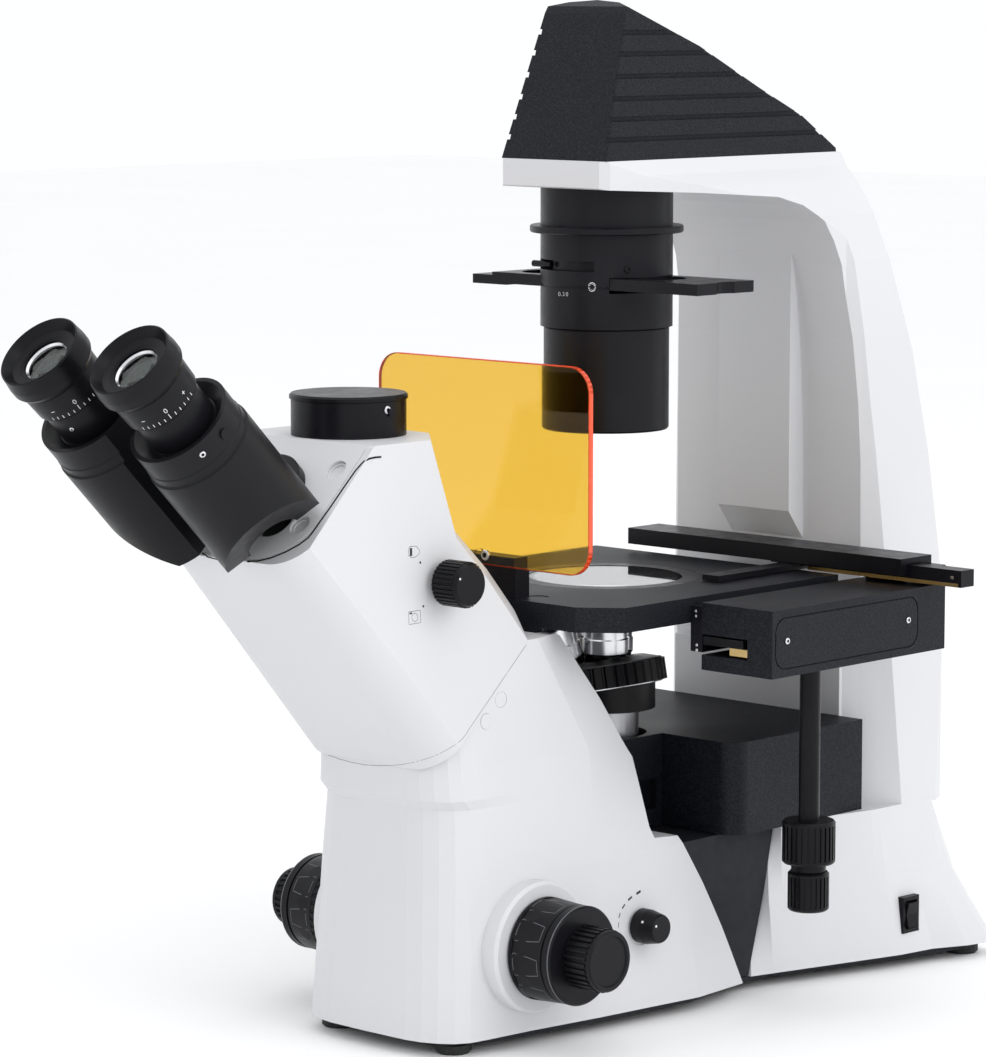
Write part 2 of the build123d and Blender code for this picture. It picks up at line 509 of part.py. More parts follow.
with BuildPart() as condenser_upper:
    turn(upright(0, 0), [(30, 359.1), (35.2, 359.1), (35.2, 380.6), (34.4, 380.6), (34.4, 381.9), (35.2, 381.9), (35.2, 438), (30, 438)])
    block(-60, 60, -25.3, 20.3, 378.2, 386.4, mode=Mode.SUBTRACT)
    # slot of the aperture lever, across the front left
    for i in range(12):
        a = radians(-129 + i * 6)
        with Locations(Location((33 * cos(a), 33 * sin(a), 392.2), (0, 0, degrees(a)))):
            Box(12, 5.2, 5.4, mode=Mode.SUBTRACT)
save(condenser_upper, "condenser_upper")

with BuildPart() as condenser_lower:
    turn(upright(0, 0), [(27, 304.3), (32.6, 304.3), (33.4, 305.3), (33.4, 358.1), (32.9, 359.1), (27, 359.1)])
save(condenser_lower, "condenser_lower")

with BuildPart() as fixed_lenses:
    turn(upright(0, 0), [(0, 440), (35.2, 440), (35.2, 442), (26, 442.4), (10, 446), (0, 447)])
    turn(upright(0, 0), [(0, 305.3), (14, 306), (26.98, 308.3), (26.98, 312.3), (0, 312.8)])
    with Locations(Location((0, -75, 30), (90, 0, 0))):
        Cylinder(14, 6)
    block(-8, 8, -79, -71, 8, 17)
save(fixed_lenses, "fixed_lenses")

with BuildPart() as field_ring:
    turn(upright(0, 0), [(35.26, 408.8), (40.2, 408.8), (40.8, 409.4), (40.8, 412.0), (40.2, 412.6), (35.26, 412.6)])
save(field_ring, "field_diaphragm_ring")

lever_angle = -125.0
with BuildPart() as aperture_lever:
    turn(upright(0, 0), [(26, 389.4), (29.7, 389.4), (29.7, 395), (26, 395)])
    with Locations(Location((34.8 * cos(radians(lever_angle)), 34.8 * sin(radians(lever_angle)), 392.2), (0, 90, lever_angle))):
        Cylinder(1.7, 13)
save(aperture_lever, "aperture_lever")

with BuildPart() as phase_slider:
    block(-60, 85, -25, 20, 380, 386)
    block(-83, -58, -16, 12, 378.5, 383.5)
    for px in (-38, 0, 38):
        rod(px, -2.5, 370, 390, 15.5, mode=Mode.SUBTRACT)
    # finger notch at the right end
    rod(92, -2.5, 370, 390, 10, mode=Mode.SUBTRACT)
save(phase_slider, "phase_slider")

# ================================================================= stage
with BuildPart() as stage_plate:
    prism(Plane.XY.offset(stage_z - stage_thick), mirrored([(0, stage_front), (stage_half - 20, stage_front), (stage_half, stage_front + 16), (stage_half, stage_rear), (0, stage_rear)]), stage_thick)
    rod(0, 0, 221.5, 230, 50.8, mode=Mode.SUBTRACT)
    rod(0, 0, 200, 230, 46.5, mode=Mode.SUBTRACT)
    rod(28.3, -84.2, 223.2, 230, 6.0, mode=Mode.SUBTRACT)
    rod(28.3, -84.2, 223.2, 224.2, 5.6)
save(stage_plate, "stage_plate")

with BuildPart() as stage_insert:
    turn(upright(0, 0), [(38.5, 221.8), (50.5, 221.8), (50.5, 224.5), (41.2, 224.5), (41.2, 222.9), (38.5, 222.9)])
save(stage_insert, "stage_insert")
with BuildPart() as insert_glass:
    rod(0, 0, 222.9, 224.3, 41.2)
save(insert_glass, "insert_glass")

with BuildPart() as stage_bracket:
    prism(Plane.YZ, [(84, 211.5), (84, 205), (112, 182), (126, 180), (135, 180), (135, 211.5)], 35, both=True)
    block(-40, 40, -98.4, -93.4, 208.5, 211.5)
save(stage_bracket, "stage_bracket")

with BuildPart() as shield_bracket:
    block(-23, 26, -98.4, -88, 224.5, 246)
save(shield_bracket, "shield_bracket")

with BuildPart() as shield:
    with BuildSketch(Plane.XZ.offset(98.4)):
        with Locations((4.75, 294.25)):
            RectangleRounded(149.5, 106.5, 13.5)
    extrude(amount=3)
    with Locations(Location((4, -101.4, 246), (90, 0, 0))):
        Cylinder(3.4, 2.4)
save(shield, "shield")

# ------------------------------------------------------------ mechanical stage
with BuildPart() as y_guide:
    block(87.5, 95.5, -31.5, 89, 196.8, 220.5)
    block(95.5, 122.5, -31, 110, 200.9, 205.3)
    block(90, 95.5, 89, 110, 200.9, 205.3)
save(y_guide, "y_guide")
with BuildPart() as y_rack:
    block(113.5, 126.2, -31, 110, 197, 200.9)
    for i in range(70):
        block(125.4, 127, -31 + i * 2.0, -30 + i * 2.0, 196, 202, mode=Mode.SUBTRACT)
save(y_rack, "y_rack")

with BuildPart() as y_carriage:
    block(carriage_x0, carriage_x1, carriage_y0, carriage_y1, carriage_z0, carriage_z1)
    block(90, 127, -60, 140, 195.9, 206.7, mode=Mode.SUBTRACT)
    rod(shaft_x, shaft_y, 195.9, 202.4, 7.2, mode=Mode.SUBTRACT)
    rod(shaft_x, shaft_y, 180, 200, 5.5, mode=Mode.SUBTRACT)
    # belt room above, closed on all sides
    block(100, 140, 3, 106, 209.5, 219, mode=Mode.SUBTRACT)
    rod(shaft_x, shaft_y, 200, 212, 3.05, mode=Mode.SUBTRACT)
    rod(x_pinion_x, x_pinion_y, 215, 230, 3.05, mode=Mode.SUBTRACT)
    # side cover seam
    with BuildSketch(Plane.YZ.offset(carriage_x1)) as seam:
        with Locations((28.4, 205.5)):
            RectangleRounded(118, 27, 8)
            RectangleRounded(116.6, 25.6, 7.3, mode=Mode.SUBTRACT)
    extrude(seam.sketch, amount=-0.8, mode=Mode.SUBTRACT)
save(y_carriage, "y_carriage")

with BuildPart() as x_guide_bar:
    block(-59, 134, 84.5, 110.5, 228.6, 237.5)
    block(-60, 140, 89.7, 101.3, 220, 234.3, mode=Mode.SUBTRACT)
    block(97, 134, 101.3, 110.5, 223, 228.6)
    block(125, 143.5, 104, 110.5, 223, 233)
    rod(x_pinion_x, x_pinion_y, 220, 227.9, 7.2, mode=Mode.SUBTRACT)
save(x_guide_bar, "x_guide_bar")

with BuildPart() as y_drive:
    turn(upright(shaft_x, shaft_y), [(3.05, 58.9 + 22.5), (9.1, 81.4), (9.1, 85.4), (13.0, 85.4), (13.9, 86.4), (13.9, 107.0), (13.0, 108), (5.45, 108), (5.45, 197), (6.4, 197), (6.4, 200.8), (3.05, 200.8)])
    for i in range(14):
        a = 2 * pi * i / 14
        with Locations(Location((shaft_x + 6.2 * cos(a), shaft_y + 6.2 * sin(a), 198.9), (0, 0, degrees(a)))):
            Box(1.3, 1.0, 5, mode=Mode.SUBTRACT)
    for i in range(28):
        a = 2 * pi * i / 28
        with Locations(Location((shaft_x + 13.9 * cos(a), shaft_y + 13.9 * sin(a), 96.7), (0, 0, degrees(a)))):
            Box(1.4, 1.3, 18, mode=Mode.SUBTRACT)
save(y_drive, "y_drive")

with BuildPart() as x_drive:
    turn(upright(shaft_x, shaft_y), [(0, 60.4), (9.8, 60.4), (10.8, 61.4), (10.8, 80.0), (9.8, 81.0), (3.0, 81.0), (3.0, 211), (6.0, 211), (6.0, 211.8), (5.2, 211.8), (5.2, 216.4), (6.0, 216.4), (6.0, 217.2), (0, 217.2)])
    for i in range(24):
        a = 2 * pi * i / 24
        with Locations(Location((shaft_x + 10.8 * cos(a), shaft_y + 10.8 * sin(a), 70.7), (0, 0, degrees(a)))):
            Box(1.3, 1.2, 16, mode=Mode.SUBTRACT)
save(x_drive, "x_drive")

with BuildPart() as x_pinion:
    turn(upright(x_pinion_x, x_pinion_y - 0.0), [(0, 211), (2.6, 211), (2.6, 211.8), (2.6, 216.4), (3.0, 216.4), (3.0, 224.8), (6.5, 224.8), (6.5, 226.7), (0, 226.7)])
    for i in range(14):
        a = 2 * pi * i / 14
        with Locations(Location((x_pinion_x + 6.3 * cos(a), x_pinion_y + 6.3 * sin(a), 225.8), (0, 0, degrees(a)))):
            Box(1.3, 1.0, 4, mode=Mode.SUBTRACT)
save(x_pinion, "x_pinion")

with BuildPart() as x_rail:
    block(40, 169.5, 90, 101, 227, 234)
    block(167.5, 169.5, 90, 101, 225, 227)
    block(-30, 40, 90, 101, 230, 234)
save(x_rail, "x_rail")
with BuildPart() as x_rack:
    block(66, 167.5, 90, 96, 225, 227)
    for i in range(50):
        block(66 + i * 2.0, 67 + i * 2.0, 95.2, 97, 224, 228, mode=Mode.SUBTRACT)
save(x_rack, "x_rack")
with BuildPart() as specimen_arm:
    block(51, 62.6, 20, 88, 225, 228.2)
    block(51, 62.6, 88, 99, 225, 227)
save(specimen_arm, "specimen_arm")

# ========================================================= fluorescence housing
with BuildPart() as fluorescence_housing:
    with BuildSketch(Plane.XY.offset(90)):
        with Locations((0, 71)):
            RectangleRounded(154, 108, 11)
        with Locations((0, 95)):
            Rectangle(154, 60)
        with Locations((0, -5)):
            Rectangle(52, 46)
    extrude(amount=50)
    # hollow, the way of the light, of the lift strut and of the filter slider
    block(-68, 68, 30, 116, 94, 136, mode=Mode.SUBTRACT)
    rod(0, 0, 80, 145, 13, mode=Mode.SUBTRACT)
    rod(0, 0, 119, 145, 22.4, mode=Mode.SUBTRACT)
    block(-8.6, 8.6, -24.6, -18.9, 80, 145, mode=Mode.SUBTRACT)
    block(-80, 80, -12.3, 12.3, 99.7, 116.3, mode=Mode.SUBTRACT)
    block(-8, 8, 10, 32, 102, 114, mode=Mode.SUBTRACT)
save(fluorescence_housing, "fluorescence_housing")

with BuildPart() as filter_slider:
    block(-60, 22, -12, 12, 100, 116)
    for fx in (0, -30):
        rod(fx, 0, 95, 120, 9, mode=Mode.SUBTRACT)
        rod(fx, 0, 106, 108, 9)
    bar_x(-76, -59, 0, 108, 5)
save(filter_slider, "filter_slider")

# ========================================================= inside the base
with BuildPart() as fold_mirrors:
    prism(Plane.YZ, [(-12, 8), (6.5, 8), (6.5, 37), (6, 37), (-12, 19)], 14, both=True)
    prism(Plane.YZ, [(-136, 8), (-166, 8), (-166, 45), (-164, 45), (-136, 17)], 14, both=True)
save(fold_mirrors, "fold_mirrors")

# ========================================================= electrics
with BuildPart() as switch_bezel:
    block(76, 92.6, 143.5, 157.3, 19.4, 39.6)
    block(80, 100, 145.5, 155.3, 21.6, 37.4, mode=Mode.SUBTRACT)
    bar = Location((88.2, 150.4, 29.5), (90, 0, 0))
    with Locations(bar):
        Cylinder(1.25, 12.4, mode=Mode.SUBTRACT)
save(switch_bezel, "switch_bezel")
with BuildPart() as power_rocker:
    with BuildSketch(Plane.XZ.offset(-154.9)):
        with BuildLine():
            Polyline((86.4, 22.6), (94.6, 22.6), (92.9, 29.5), (94.6, 36.4), (86.4, 36.4), close=True)
        make_face()
    extrude(amount=9)
    with Locations(Location((88.2, 150.4, 29.5), (90, 0, 0))):
        Cylinder(1.2, 11.6)
save(power_rocker, "power_rocker")

with BuildPart() as power_inlet:
    block(-39.8, -12.2, 194, 209.8, 30.2, 51.8)
    block(-36.5, -15.5, 199, 215, 33.5, 48.5, mode=Mode.SUBTRACT)
    for px, pz in ((-26, 44.5), (-31.5, 39), (-20.5, 39)):
        with Locations((px, 202.5, pz)):
            Box(2, 8, 4)
save(power_inlet, "power_inlet")

with BuildPart() as brightness_knob:
    turn(along_x(-47.5, 51.5), [(0, 42), (3.95, 42), (3.95, 68.7), (9.1, 68.7), (9.1, 74), (7.7, 81.4), (7.1, 82.5), (0, 82.5)])
save(brightness_knob, "brightness_knob")
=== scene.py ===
import bpy, bmesh, json
from math import sin, cos, tan, radians, degrees, pi, sqrt, atan2, hypot
from mathutils import Vector, Matrix
from mathutils.bvhtree import BVHTree

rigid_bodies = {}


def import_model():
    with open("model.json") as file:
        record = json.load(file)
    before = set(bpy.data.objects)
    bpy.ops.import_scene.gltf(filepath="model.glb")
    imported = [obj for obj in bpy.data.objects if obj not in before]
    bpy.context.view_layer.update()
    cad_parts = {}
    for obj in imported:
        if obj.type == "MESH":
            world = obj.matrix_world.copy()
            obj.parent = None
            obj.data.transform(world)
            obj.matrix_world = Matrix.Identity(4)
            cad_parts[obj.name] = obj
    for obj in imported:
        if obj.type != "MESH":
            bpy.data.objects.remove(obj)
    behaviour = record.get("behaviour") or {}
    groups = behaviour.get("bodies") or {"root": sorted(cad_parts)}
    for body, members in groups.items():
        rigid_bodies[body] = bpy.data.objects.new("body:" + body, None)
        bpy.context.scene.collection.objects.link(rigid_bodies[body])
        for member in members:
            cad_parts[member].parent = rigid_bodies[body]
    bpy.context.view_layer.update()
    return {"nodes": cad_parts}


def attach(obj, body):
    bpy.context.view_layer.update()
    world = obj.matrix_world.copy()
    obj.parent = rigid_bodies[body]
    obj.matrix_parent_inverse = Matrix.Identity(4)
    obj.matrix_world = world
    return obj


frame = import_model()
NODES = frame["nodes"]
MM = 0.001
K = 0.70710678


# ------------------------------------------------------------------ materials
def new_mat(name):
    m = bpy.data.materials.new(name)
    m.use_nodes = True
    nt = m.node_tree
    bsdf = nt.nodes["Principled BSDF"]
    return m, nt, bsdf


def noise(nt, scale, detail=3.0, rough=0.55, vec=None, distortion=0.0):
    n = nt.nodes.new("ShaderNodeTexNoise")
    n.inputs["Scale"].default_value = scale
    n.inputs["Detail"].default_value = detail
    n.inputs["Roughness"].default_value = rough
    n.inputs["Distortion"].default_value = distortion
    if vec is not None:
        nt.links.new(vec, n.inputs["Vector"])
    return n


def coords(nt, stretch=(1, 1, 1)):
    tc = nt.nodes.new("ShaderNodeTexCoord")
    mp = nt.nodes.new("ShaderNodeMapping")
    mp.inputs["Scale"].default_value = stretch
    nt.links.new(tc.outputs["Object"], mp.inputs["Vector"])
    return mp.outputs["Vector"]


def remap(nt, src, a, b, c, d):
    r = nt.nodes.new("ShaderNodeMapRange")
    r.inputs["From Min"].default_value = a
    r.inputs["From Max"].default_value = b
    r.inputs["To Min"].default_value = c
    r.inputs["To Max"].default_value = d
    nt.links.new(src, r.inputs["Value"])
    return r.outputs["Result"]


def ramp2(nt, src, p0, c0, p1, c1):
    r = nt.nodes.new("ShaderNodeValToRGB")
    r.color_ramp.elements[0].position = p0
    r.color_ramp.elements[0].color = (*c0, 1)
    r.color_ramp.elements[1].position = p1
    r.color_ramp.elements[1].color = (*c1, 1)
    nt.links.new(src, r.inputs["Fac"])
    return r.outputs["Color"]


def bump(nt, bsdf, height, strength, dist, prev=None):
    b = nt.nodes.new("ShaderNodeBump")
    b.inputs["Strength"].default_value = strength
    b.inputs["Distance"].default_value = dist
    nt.links.new(height, b.inputs["Height"])
    if prev is not None:
        nt.links.new(prev, b.inputs["Normal"])
    nt.links.new(b.outputs["Normal"], bsdf.inputs["Normal"])
    return b.outputs["Normal"]


def paint(name, c_lo, c_hi, r_lo, r_hi, grain, grain_str, grain_dist, blotch=9.0, metallic=0.0, spec=0.5, coat=0.0):
    """Painted or moulded surface: slow colour drift, roughness drift and a fine grain in relief."""
    m, nt, b = new_mat(name)
    v = coords(nt)
    slow = noise(nt, blotch, 2.0, 0.5, v)
    nt.links.new(ramp2(nt, slow.outputs["Fac"], 0.35, c_lo, 0.65, c_hi), b.inputs["Base Color"])
    mid = noise(nt, blotch * 14, 3.0, 0.6, v)
    nt.links.new(remap(nt, mid.outputs["Fac"], 0.3, 0.7, r_lo, r_hi), b.inputs["Roughness"])
    fine = noise(nt, grain, 4.0, 0.65, v)
    bump(nt, b, fine.outputs["Fac"], grain_str, grain_dist)
    b.inputs["Metallic"].default_value = metallic
    b.inputs["Specular IOR Level"].default_value = spec
    b.inputs["Coat Weight"].default_value = coat
    return m


def leather_black(name, base, speck, r_lo, r_hi, cell, strength):
    """Fine-grained black paint: small pebbles, each catching a little light."""
    m, nt, b = new_mat(name)
    v = coords(nt)
    vo = nt.nodes.new("ShaderNodeTexVoronoi")
    vo.feature = "SMOOTH_F1"
    vo.inputs["Scale"].default_value = cell
    vo.inputs["Smoothness"].default_value = 0.6
    nt.links.new(v, vo.inputs["Vector"])
    n = noise(nt, cell * 0.8, 3.0, 0.7, v)
    slow = noise(nt, 12, 2.0, 0.5, v)
    nt.links.new(ramp2(nt, n.outputs["Fac"], 0.42, base, 0.72, speck), b.inputs["Base Color"])
    nt.links.new(remap(nt, slow.outputs["Fac"], 0.3, 0.7, r_lo, r_hi), b.inputs["Roughness"])
    p = bump(nt, b, vo.outputs["Distance"], strength, 0.0004)
    bump(nt, b, n.outputs["Fac"], strength * 0.7, 0.0003, p)
    b.inputs["Specular IOR Level"].default_value = 0.17
    return m


def metal(name, col, r_lo, r_hi, stretch, strength=0.12):
    """Turned or brushed metal: streaks stretched along one direction."""
    m, nt, b = new_mat(name)
    v = coords(nt, stretch)
    n = noise(nt, 900, 3.0, 0.6, v)
    slow = noise(nt, 40, 2.0, 0.5, coords(nt))
    lo = tuple(c * 0.88 for c in col)
    nt.links.new(ramp2(nt, slow.outputs["Fac"], 0.3, lo, 0.7, col), b.inputs["Base Color"])
    nt.links.new(remap(nt, n.outputs["Fac"], 0.3, 0.7, r_lo, r_hi), b.inputs["Roughness"])
    bump(nt, b, n.outputs["Fac"], strength, 0.0001)
    b.inputs["Metallic"].default_value = 1.0
    return m


MAT = {}
MAT["white"] = paint("white_powder_coat", (0.635, 0.635, 0.65), (0.66, 0.66, 0.675), 0.40, 0.50, 1400, 0.06, 0.0002, blotch=5, spec=0.35)
MAT["white_head"] = paint("white_head_coat", (0.635, 0.635, 0.65), (0.66, 0.66, 0.675), 0.38, 0.48, 1400, 0.06, 0.0002, blotch=5, spec=0.35)
MAT["frame"] = paint("dark_frame_paint", (0.012, 0.013, 0.017), (0.018, 0.019, 0.024), 0.5, 0.65, 1800, 0.2, 0.0002, spec=0.2)
MAT["black"] = leather_black("black_grain_paint", (0.003, 0.0035, 0.005), (0.022, 0.024, 0.033), 0.42, 0.52, 1500, 0.34)
MAT["black_satin"] = paint("black_satin", (0.004, 0.004, 0.005), (0.009, 0.009, 0.011), 0.32, 0.42, 1600, 0.16, 0.0001, spec=0.17)
MAT["black_anodised"] = paint("black_anodised", (0.004, 0.004, 0.006), (0.009, 0.009, 0.012), 0.28, 0.40, 2200, 0.10, 0.0001, spec=0.17)
MAT["plastic"] = paint("black_moulded", (0.003, 0.003, 0.004), (0.007, 0.007, 0.009), 0.30, 0.40, 1500, 0.10, 0.0001, spec=0.17)
MAT["rubber"] = paint("foot_rubber", (0.010, 0.010, 0.010), (0.018, 0.018, 0.018), 0.6, 0.8, 900, 0.3, 0.0002)
MAT["silver"] = metal("bright_plated", (0.78, 0.78, 0.80), 0.16, 0.28, (1, 1, 30))
MAT["steel"] = metal("turned_steel", (0.45, 0.45, 0.47), 0.28, 0.42, (1, 1, 30))
MAT["brass"] = metal("rack_brass", (0.72, 0.52, 0.22), 0.24, 0.38, (30, 1, 1))
MAT["print"] = paint("black_print", (0.015, 0.015, 0.018), (0.02, 0.02, 0.024), 0.45, 0.55, 2500, 0.05, 0.0001)
# painted shade: near-black colour laid in gaps, holes and screw sockets where shade falls
MAT["seam"] = paint("painted_gap_shade_paint", (0.010, 0.010, 0.012), (0.016, 0.016, 0.018), 0.6, 0.75, 1500, 0.05, 0.0001, spec=0.15)
# painted shadow: grey for the joint line where shade falls in the gap
MAT["seam_soft"] = paint("joint_shadow", (0.20, 0.20, 0.21), (0.26, 0.26, 0.27), 0.6, 0.75, 1500, 0.05, 0.0001, spec=0.15)
# painted highlight: grey sheen for edges of black parts that catch the light
MAT["painted_edge_highlight"] = paint("painted_grip_highlight", (0.09, 0.09, 0.10), (0.13, 0.13, 0.14), 0.35, 0.5, 1500, 0.05, 0.0001, spec=0.4)
MAT["print_light"] = paint("pale_print", (0.75, 0.75, 0.76), (0.8, 0.8, 0.81), 0.45, 0.55, 2500, 0.05, 0.0001)


def glass(name, col, rough, ior=1.49, trans=1.0):
    m, nt, b = new_mat(name)
    b.inputs["Base Color"].default_value = (*col, 1)
    b.inputs["Transmission Weight"].default_value = trans
    b.inputs["IOR"].default_value = ior
    v = coords(nt)
    n = noise(nt, 60, 2.0, 0.5, v)
    nt.links.new(remap(nt, n.outputs["Fac"], 0.35, 0.65, rough, rough + 0.03), b.inputs["Roughness"])
    return m


MAT["glass"] = glass("clear_glass", (0.95, 0.97, 0.97), 0.0)
MAT["orange"] = glass("orange_acrylic", (0.88, 0.53, 0.055), 0.02)
# painted glow: saturated red-orange paint, not a lamp, for the shield's bright cut edge
MAT["painted_edge_glow"] = paint("painted_orange_edge_glow", (0.85, 0.075, 0.022), (0.90, 0.10, 0.03), 0.18, 0.28, 900, 0.05, 0.0001, spec=0.5)
MAT["lens"] = glass("coated_lens", (0.55, 0.66, 0.62), 0.0)


def mirror_mat():
    m, nt, b = new_mat("front_mirror")
    b.inputs["Metallic"].default_value = 1.0
    v = coords(nt)
    n = noise(nt, 30, 2.0, 0.5, v)
    nt.links.new(remap(nt, n.outputs["Fac"], 0.35, 0.65, 0.02, 0.05), b.inputs["Roughness"])
    b.inputs["Base Color"].default_value = (0.9, 0.9, 0.92, 1)
    return m


MAT["mirror"] = mirror_mat()


# ------------------------------------------------------------- piece helpers
def assign(obj, m):
    obj.data.materials.clear()
    obj.data.materials.append(m)


def smooth_obj(obj, angle=35):
    """Smooth shading that keeps edges sharper than the angle."""
    me = obj.data
    for p in me.polygons:
        p.use_smooth = True
    bm = bmesh.new()
    bm.from_mesh(me)
    lim = radians(angle)
    for e in bm.edges:
        e.smooth = not (len(e.link_faces) == 2 and e.calc_face_angle(0) > lim)
    bm.to_mesh(me)
    bm.free()


def smooth_group(angle):
    """Smooth shading with every edge sharper than the angle kept sharp."""
    g = bpy.data.node_groups.new("smooth_by_angle", "GeometryNodeTree")
    g.interface.new_socket("Geometry", in_out="INPUT", socket_type="NodeSocketGeometry")
    g.interface.new_socket("Geometry", in_out="OUTPUT", socket_type="NodeSocketGeometry")
    gi = g.nodes.new("NodeGroupInput")
    go = g.nodes.new("NodeGroupOutput")
    faces = g.nodes.new("GeometryNodeSetShadeSmooth")
    faces.domain = "FACE"
    edges = g.nodes.new("GeometryNodeSetShadeSmooth")
    edges.domain = "EDGE"
    edges.inputs["Shade Smooth"].default_value = False
    ang = g.nodes.new("GeometryNodeInputMeshEdgeAngle")
    cmp_ = g.nodes.new("FunctionNodeCompare")
    cmp_.data_type = "FLOAT"
    cmp_.operation = "GREATER_THAN"
    cmp_.inputs[1].default_value = radians(angle)
    g.links.new(ang.outputs[0], cmp_.inputs[0])
    g.links.new(gi.outputs[0], faces.inputs["Geometry"])
    g.links.new(faces.outputs[0], edges.inputs["Geometry"])
    g.links.new(cmp_.outputs[0], edges.inputs["Selection"])
    g.links.new(edges.outputs[0], go.inputs[0])
    return g


SMOOTH = smooth_group(32)


def cad(node, mat, bevel=0.4, seg=2, angle=36):
    """A CAD node that stays: its edges broken by a small bevel and its own material."""
    o = NODES[node]
    for i in range(max(1, len(o.material_slots))):
        if len(o.material_slots) == 0:
            o.data.materials.append(MAT[mat])
        else:
            o.material_slots[i].link = "OBJECT"
            o.material_slots[i].material = MAT[mat]
    sm = o.modifiers.new("smooth", "NODES")
    sm.node_group = SMOOTH
    if bevel > 0:
        b = o.modifiers.new("edge", "BEVEL")
        b.width = bevel * MM
        b.segments = seg
        b.limit_method = "ANGLE"
        b.angle_limit = radians(angle)
        b.harden_normals = node.endswith("_shell")
        b.use_clamp_overlap = True
    if not node.endswith("_shell"):
        wn = o.modifiers.new("normals", "WEIGHTED_NORMAL")
        wn.mode = "FACE_AREA"
        wn.keep_sharp = True
    return o


CAD_LOOK = {
    "front_shell": ("white", 0.6), "column_shell": ("white", 0.6), "head_shell": ("white_head", 0.5), "prism_housing": ("white_head", 1.5),
    "focus_bosses": ("white", 0.5), "screw_caps": ("white", 0.3), "base_frame": ("frame", 0.5), "bottom_plate": ("frame", 0.3), "feet": ("rubber", 0.3),
    "photo_port": ("black_anodised", 0.4), "port_cap": ("plastic", 0.4), "lamp_cover": ("black", 0.8), "lamp_module": ("steel", 0.2),
    "fixed_lenses": ("lens", 0), "fold_mirrors": ("mirror", 0.2), "power_inlet": ("plastic", 0.3), "switch_bezel": ("plastic", 0.4), "power_rocker": ("plastic", 0.4),
    "condenser_upper": ("black_anodised", 0.3), "condenser_lower": ("black_anodised", 0.3), "field_diaphragm_ring": ("black_anodised", 0.3),
    "aperture_lever": ("black_anodised", 0.3), "phase_slider": ("black_anodised", 0.3), "stage_plate": ("black", 0.5), "stage_insert": ("black_anodised", 0.3),
    "insert_glass": ("glass", 0.1), "stage_bracket": ("black", 0.5), "shield_bracket": ("black_anodised", 0.4), "shield": ("orange", 0.4),
    "y_guide": ("black_anodised", 0.3), "y_rack": ("brass", 0.1), "y_carriage": ("black", 0.4), "x_guide_bar": ("black_anodised", 0.4),
    "y_drive": ("plastic", 0.2), "x_drive": ("plastic", 0.2), "x_pinion": ("steel", 0.1), "x_rail": ("black_anodised", 0.3), "x_rack": ("brass", 0.1),
    "specimen_arm": ("black_anodised", 0.4), "fluorescence_housing": ("black", 0.6), "filter_slider": ("black_anodised", 0.3),
    "binocular_hub": ("black_satin", 0.3), "right_housing": ("black_satin", 0.5), "left_housing": ("black_satin", 0.5),
    "right_eyepiece": ("plastic", 0.3), "left_eyepiece": ("plastic", 0.3), "right_diopter_ring": ("plastic", 0.2), "left_diopter_ring": ("plastic", 0.2),
    "right_eye_lens": ("lens", 0), "left_eye_lens": ("lens", 0), "light_path_knob": ("plastic", 0.2), "path_prism": ("steel", 0.2),
    "coarse_knobs": ("plastic", 0.4), "tension_ring": ("plastic", 0.2), "fine_knobs": ("plastic", 0.2), "focus_lift": ("steel", 0.3),
    "nosepiece_mount": ("black_satin", 0.4), "turret": ("plastic", 0.2), "objectives": ("silver", 0.2), "brightness_knob": ("plastic", 0.5),
}
for n_, (m_, b_) in CAD_LOOK.items():
    cad(n_, m_, b_)

# ------------------------------------------------------------- camera and light
az, el = radians(43.405), radians(7.253)
right = Vector((cos(az), sin(az), 0))
back = Vector((sin(az) * cos(el), -cos(az) * cos(el), sin(el)))
up = back.cross(right)
cam_data = bpy.data.cameras.new("camera")
cam = bpy.data.objects.new("camera", cam_data)
bpy.context.scene.collection.objects.link(cam)
cam.matrix_world = Matrix(((right.x, up.x, back.x, 1.522), (right.y, up.y, back.y, -1.697), (right.z, up.z, back.z, 0.540), (0, 0, 0, 1)))
cam_data.sensor_width = 36
cam_data.lens = 146.18
cam_data.clip_end = 100
bpy.context.scene.camera = cam

world = bpy.data.worlds.new("studio")
bpy.context.scene.world = world
world.use_nodes = True
world.node_tree.nodes["Background"].inputs["Color"].default_value = (0.975, 0.985, 1.0, 1)
world.node_tree.nodes["Background"].inputs["Strength"].default_value = 1.02


def area(name, loc, target, size, power, size_y=None):
    d = bpy.data.lights.new(name, "AREA")
    d.energy = power
    d.size = size
    if size_y:
        d.shape = "RECTANGLE"
        d.size_y = size_y
    o = bpy.data.objects.new(name, d)
    o.location = loc
    o.rotation_euler = (Vector(target) - Vector(loc)).to_track_quat("-Z", "Y").to_euler()
    bpy.context.scene.collection.objects.link(o)
    return o


area("key_right", (2.2, 0.2, 1.5), (0, 0, 0.25), 1.6, 18)
area("top_soft", (0.2, -0.2, 2.4), (0, 0, 0.2), 2.2, 9)
area("front_left", (-0.9, -2.4, 1.0), (0, 0, 0.25), 1.2, 1.5)

# ------------------------------------------------------------- detail pieces
bpy.context.view_layer.update()
EYE = Vector((1.522, -1.697, 0.540))
TREES = {}
D_AX = Vector((0, -K, K))


def tree(node):
    if node not in TREES:
        o = NODES[node]
        mw = o.matrix_world
        TREES[node] = BVHTree.FromPolygons([mw @ v.co for v in o.data.vertices], [tuple(p.vertices) for p in o.data.polygons])
    return TREES[node]


def cast(nodes, origin, direction):
    """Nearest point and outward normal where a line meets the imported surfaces."""
    best = None
    for n in nodes:
        loc, nor, idx, dist = tree(n).ray_cast(origin, direction)
        if loc is not None and (best is None or dist < best[2]):
            best = (loc, nor if nor.dot(direction) < 0 else -nor, dist)
    return best


def seen(nodes, x, y):
    """Surface point seen from the viewing point at a place of the picture plane."""
    return cast(nodes, EYE, (right * (x - 493) - up * (y - 528.5) - back * 4292).normalized())


